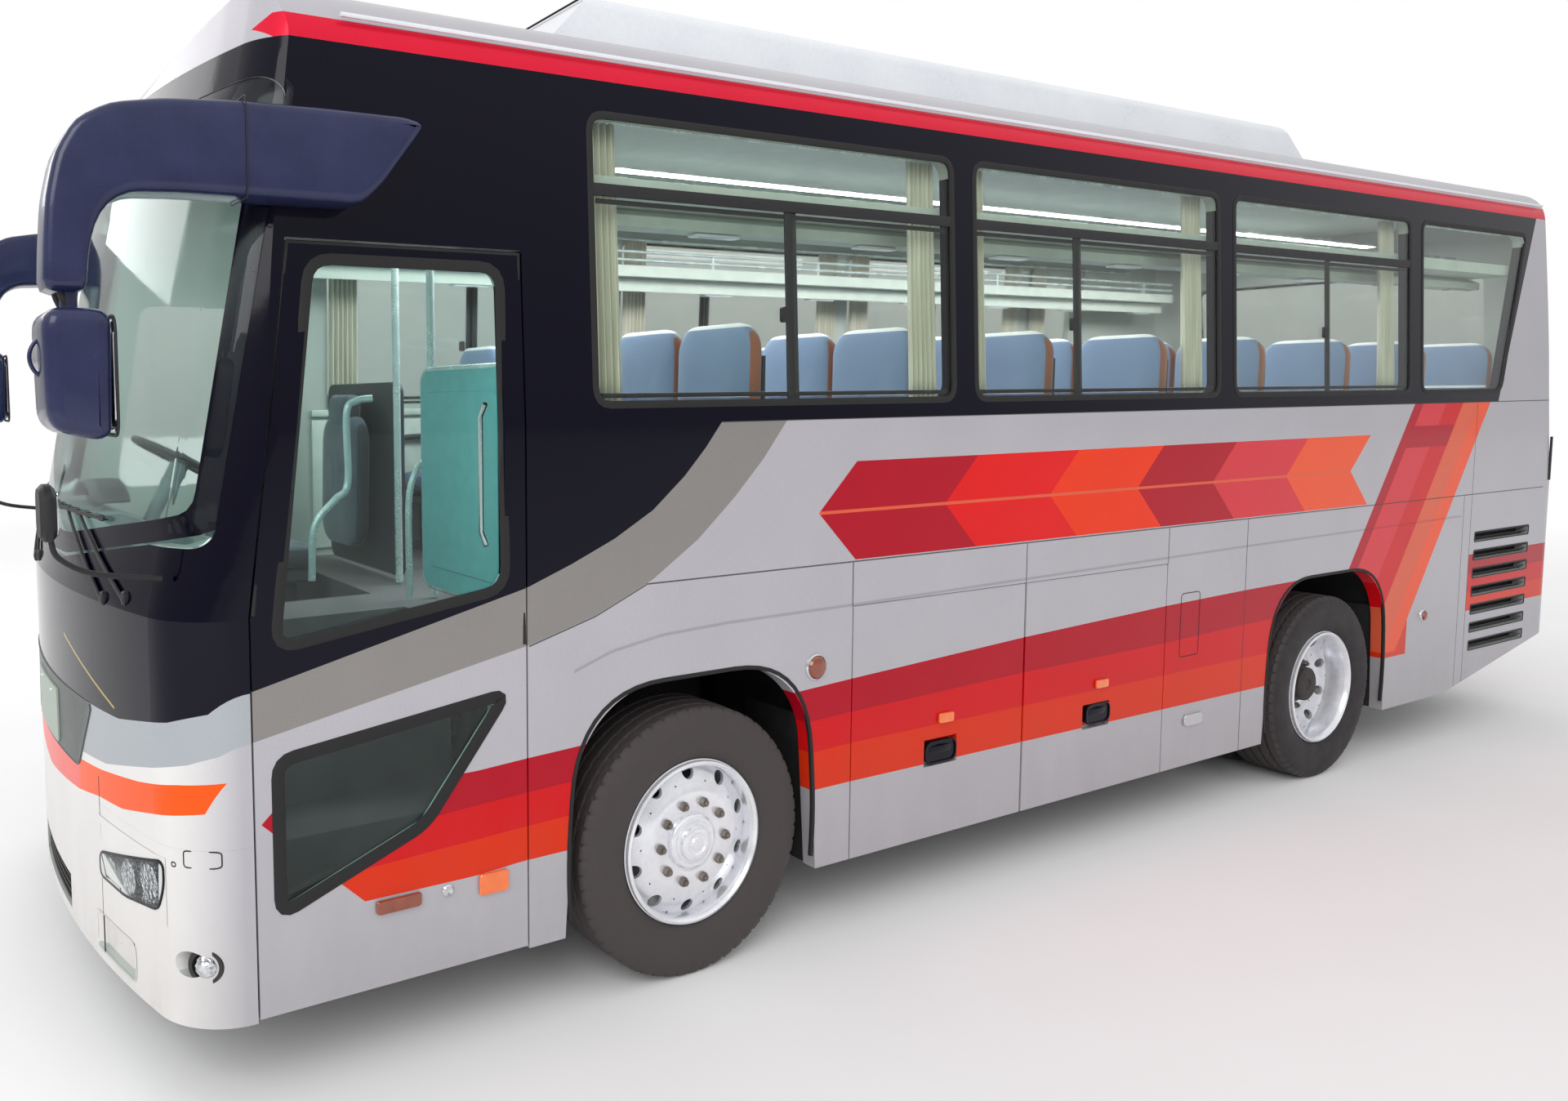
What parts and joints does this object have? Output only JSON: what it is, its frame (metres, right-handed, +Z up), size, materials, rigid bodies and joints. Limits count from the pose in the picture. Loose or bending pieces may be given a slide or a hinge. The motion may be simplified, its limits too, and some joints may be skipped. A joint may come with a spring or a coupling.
{
  "type": "coach bus",
  "caption": "Single-deck high-floor touring coach with entrance at the left front corner, roof air conditioner, horn mirrors, luggage hold lids and twin rear wheels.",
  "frame": {"origin": "on the ground, on the coach's midline, half way along its overall length with the mirrors", "axes": "+X to the coach's left, +Y to its rear, +Z up; the front faces -Y"},
  "size_m": [2.83, 9.1596, 3.4799],
  "materials": {
    "body_paint": "gloss white and silver coachwork with coloured bands",
    "frame_paint": "black chassis paint",
    "floor_board": "ribbed floor covering",
    "clear_glass": "clear",
    "tinted_glass": "lightly tinted",
    "white_plastic": "gloss",
    "black_plastic": "satin black",
    "mirror_housing": "dark blue-grey gloss",
    "lamp_lens": "clear lens",
    "red_lens": "red lens",
    "cab_plastic": "grained",
    "seat_cloth": "woven cloth",
    "engine_iron": "painted casting",
    "axle_iron": "black painted casting",
    "tyre_rubber": "worn tread rubber",
    "wheel_alloy": "polished"
  },
  "bodies": {
    "coach_body": {"chassis_frame": "frame_paint", "floor_deck": "floor_board", "luggage_hold": "frame_paint", "side_wall_left": "body_paint", "side_wall_right": "body_paint", "front_shell": "body_paint", "front_bumper": "body_paint", "windscreen": "clear_glass", "roof_shell": "body_paint", "rear_shell": "body_paint", "fixed_windows": "tinted_glass", "roof_air_conditioner": "white_plastic", "mirror_left": "mirror_housing", "mirror_right": "mirror_housing", "wipers": "black_plastic", "headlamps": "lamp_lens", "tail_lamps": "red_lens", "dashboard": "cab_plastic", "driver_seat": "seat_cloth", "passenger_seats": "seat_cloth", "luggage_racks": "cab_plastic", "engine_block": "engine_iron", "front_axle": "axle_iron", "rear_axle": "axle_iron"},
    "steering_wheel": {"steering_wheel": "black_plastic"},
    "knuckle_left": {"knuckle_left": "axle_iron"},
    "knuckle_right": {"knuckle_right": "axle_iron"},
    "front_wheel_left": {"front_tyre_left": "tyre_rubber", "front_rim_left": "wheel_alloy"},
    "front_wheel_right": {"front_tyre_right": "tyre_rubber", "front_rim_right": "wheel_alloy"},
    "rear_wheels_left": {"rear_tyres_left": "tyre_rubber", "rear_rims_left": "wheel_alloy"},
    "rear_wheels_right": {"rear_tyres_right": "tyre_rubber", "rear_rims_right": "wheel_alloy"},
    "door_arm": {"door_arm": "frame_paint"},
    "entrance_door": {"entrance_door": "body_paint", "entrance_door_glass": "clear_glass"},
    "luggage_lid_left_front": {"luggage_lid_left_front": "body_paint"},
    "luggage_lid_left_rear": {"luggage_lid_left_rear": "body_paint"},
    "luggage_lid_right_front": {"luggage_lid_right_front": "body_paint"},
    "luggage_lid_right_rear": {"luggage_lid_right_rear": "body_paint"},
    "engine_lid": {"engine_lid": "body_paint"},
    "emergency_door": {"emergency_door": "body_paint", "emergency_door_glass": "tinted_glass"}
  },
  "joints": [
    {"name": "steer_left", "type": "hinge", "parent": "coach_body", "child": "knuckle_left", "pos_m": [0.88, -2.43, 0.485], "axis": [0, 0, 1], "range_deg": [-42, 42]},
    {"name": "steer_right", "type": "hinge", "parent": "coach_body", "child": "knuckle_right", "pos_m": [-0.88, -2.43, 0.485], "axis": [0, 0, 1], "range_deg": [-42, 42]},
    {"name": "steering_wheel_turn", "type": "hinge", "parent": "coach_body", "child": "steering_wheel", "pos_m": [-0.62, -3.76, 1.8], "axis": [0, 0.4695, 0.8829], "range_deg": [-640, 640]},
    {"name": "front_wheel_left_spin", "type": "hinge", "parent": "knuckle_left", "child": "front_wheel_left", "pos_m": [1.1, -2.43, 0.485], "axis": [1, 0, 0], "continuous": true},
    {"name": "front_wheel_right_spin", "type": "hinge", "parent": "knuckle_right", "child": "front_wheel_right", "pos_m": [-1.1, -2.43, 0.485], "axis": [1, 0, 0], "continuous": true},
    {"name": "rear_wheels_left_spin", "type": "hinge", "parent": "coach_body", "child": "rear_wheels_left", "pos_m": [1.1, 1.77, 0.485], "axis": [1, 0, 0], "continuous": true},
    {"name": "rear_wheels_right_spin", "type": "hinge", "parent": "coach_body", "child": "rear_wheels_right", "pos_m": [-1.1, 1.77, 0.485], "axis": [1, 0, 0], "continuous": true},
    {"name": "door_arm_swing", "type": "hinge", "parent": "coach_body", "child": "door_arm", "pos_m": [1.13, -3.925, 1], "axis": [0, 0, -1], "range_deg": [0, 145]},
    {"name": "entrance_door_follow", "type": "hinge", "parent": "door_arm", "child": "entrance_door", "pos_m": [1.13, -3.445, 1], "axis": [0, 0, -1], "range_deg": [-145, 0]},
    {"name": "emergency_door_hinge", "type": "hinge", "parent": "coach_body", "child": "emergency_door", "pos_m": [-1.245, 2.655, 2], "axis": [0, 0, 1], "range_deg": [0, 110]},
    {"name": "engine_lid_hinge", "type": "hinge", "parent": "coach_body", "child": "engine_lid", "pos_m": [0, 4.58, 1.5597], "axis": [1, 0, 0], "range_deg": [0, 80]},
    {"name": "luggage_lid_left_front_hinge", "type": "hinge", "parent": "coach_body", "child": "luggage_lid_left_front", "pos_m": [1.233, -1.1975, 1.2497], "axis": [0, -1, 0], "range_deg": [0, 85]},
    {"name": "luggage_lid_left_rear_hinge", "type": "hinge", "parent": "coach_body", "child": "luggage_lid_left_rear", "pos_m": [1.233, -0.1925, 1.2497], "axis": [0, -1, 0], "range_deg": [0, 85]},
    {"name": "luggage_lid_right_front_hinge", "type": "hinge", "parent": "coach_body", "child": "luggage_lid_right_front", "pos_m": [-1.233, -1.1975, 1.2497], "axis": [0, 1, 0], "range_deg": [0, 85]},
    {"name": "luggage_lid_right_rear_hinge", "type": "hinge", "parent": "coach_body", "child": "luggage_lid_right_rear", "pos_m": [-1.233, -0.1925, 1.2497], "axis": [0, 1, 0], "range_deg": [0, 85]}
  ],
  "couplings": [
    {"joint": "steer_right", "follows": "steer_left", "ratio": 1},
    {"joint": "steering_wheel_turn", "follows": "steer_left", "ratio": 15},
    {"joint": "entrance_door_follow", "follows": "door_arm_swing", "ratio": -1}
  ]
}
